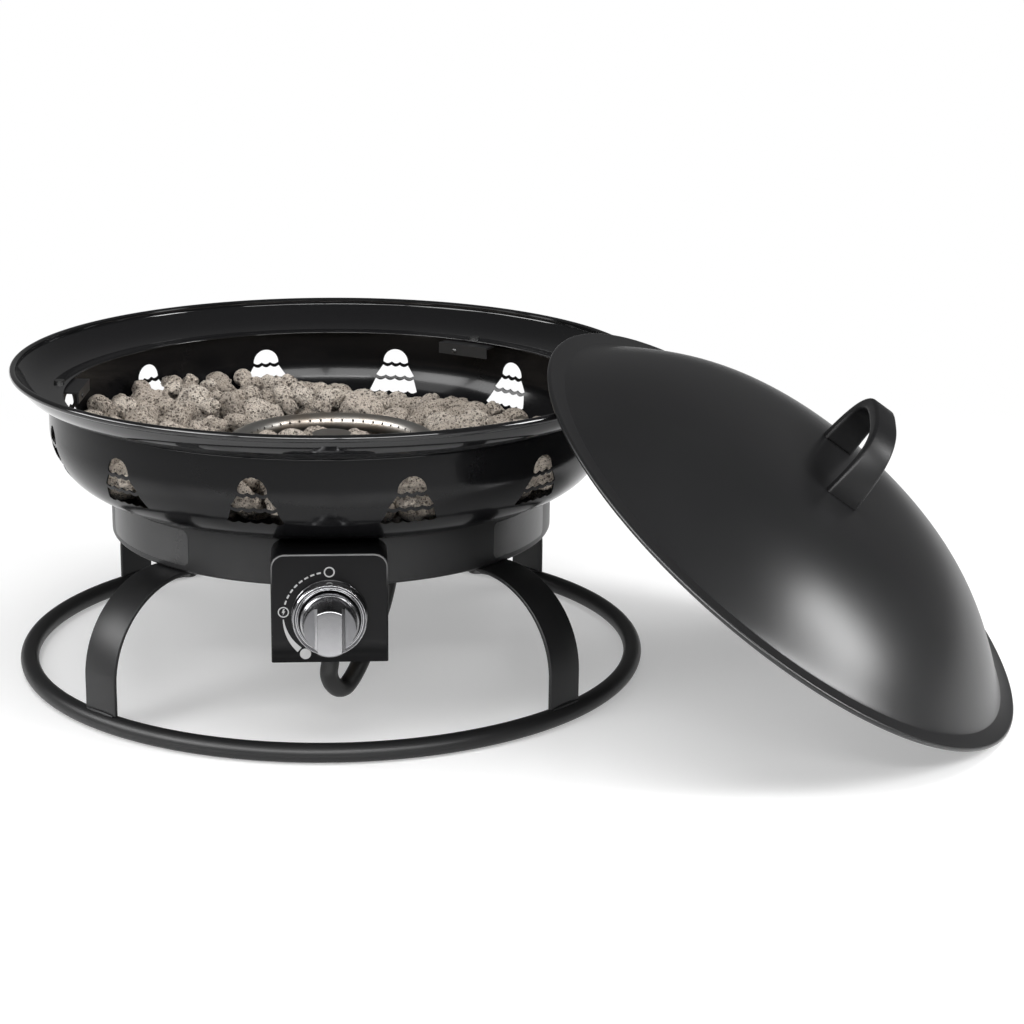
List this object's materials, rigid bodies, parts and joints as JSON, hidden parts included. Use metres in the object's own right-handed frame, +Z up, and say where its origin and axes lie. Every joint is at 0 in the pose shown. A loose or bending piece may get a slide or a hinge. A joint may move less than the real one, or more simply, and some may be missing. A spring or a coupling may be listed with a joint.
{
  "type": "portable propane fire pit",
  "caption": "Round sheet-metal fire bowl on strap legs and a floor ring, with ring burner, lava rocks, front gas control box and a domed lid leaned against the rim.",
  "frame": {"origin": "on the floor under the centre of the bowl", "axes": "+Z up; -Y towards the user, the way the control panel faces; +X to the user's right, the side where the lid leans"},
  "size_m": [0.7539, 0.5802, 0.2621],
  "materials": {
    "gloss_black": "gloss black enamel",
    "satin_black": "satin black powder coat",
    "lid_black": "fine satin black heat paint",
    "black_plastic": "matte moulded",
    "knob_chrome": "satin chrome",
    "zinc": "zinc plated",
    "black_screw": "black oxide",
    "stainless": "heat-tinted stainless",
    "brass": "machined",
    "hose_rubber": "matte",
    "lead_jacket": "silicone",
    "ceramic": "glazed ceramic",
    "lava_rock": "porous stone"
  },
  "bodies": {
    "root": {"base_ring": "satin_black", "leg_front_left": "satin_black", "leg_front_right": "satin_black", "leg_rear_right": "satin_black", "leg_rear_left": "satin_black", "leg_bolts": "black_screw", "leg_nuts": "zinc", "collar_band": "satin_black", "collar_top_ring": "satin_black", "collar_base_ring": "satin_black", "bowl_body": "gloss_black", "rim_flare": "gloss_black", "rim_clips": "satin_black", "rim_screws": "black_screw", "control_box": "satin_black", "box_screws": "black_screw", "knob_bezel": "knob_chrome", "valve_body": "brass", "valve_neck": "brass", "valve_nut": "zinc", "gas_inlet": "brass", "outlet_nut": "brass", "hose_ferrules": "zinc", "gas_hose": "hose_rubber", "gas_jet": "brass", "air_shutter": "zinc", "inlet_pipe": "stainless", "burner_ring": "stainless", "burner_screws": "zinc", "burner_nuts": "zinc", "igniter_ceramic": "ceramic", "igniter_electrode": "stainless", "igniter_lead": "lead_jacket", "rocks_wall": "lava_rock", "rocks_outer": "lava_rock", "rocks_inner": "lava_rock"},
    "plunger": {"push_collar": "zinc"},
    "knob": {"control_knob": "knob_chrome", "valve_stem": "brass"},
    "lid": {"lid_shell": "lid_black", "handle_grip": "black_plastic", "handle_screws": "zinc"}
  },
  "joints": [
    {"name": "knob_push", "type": "slide", "parent": "root", "child": "plunger", "axis": [0, 1, 0], "range_m": [0, 0.003], "stiffness_N_per_m": 2000},
    {"name": "knob_turn", "type": "hinge", "parent": "plunger", "child": "knob", "pos_m": [-0.0026, -0.205, 0.097], "axis": [0, -1, 0], "range_deg": [0, 150]},
    {"name": "lid_lift", "type": "slide", "parent": "root", "child": "lid", "axis": [0, 0, 1], "range_m": [0, 0.26]}
  ]
}
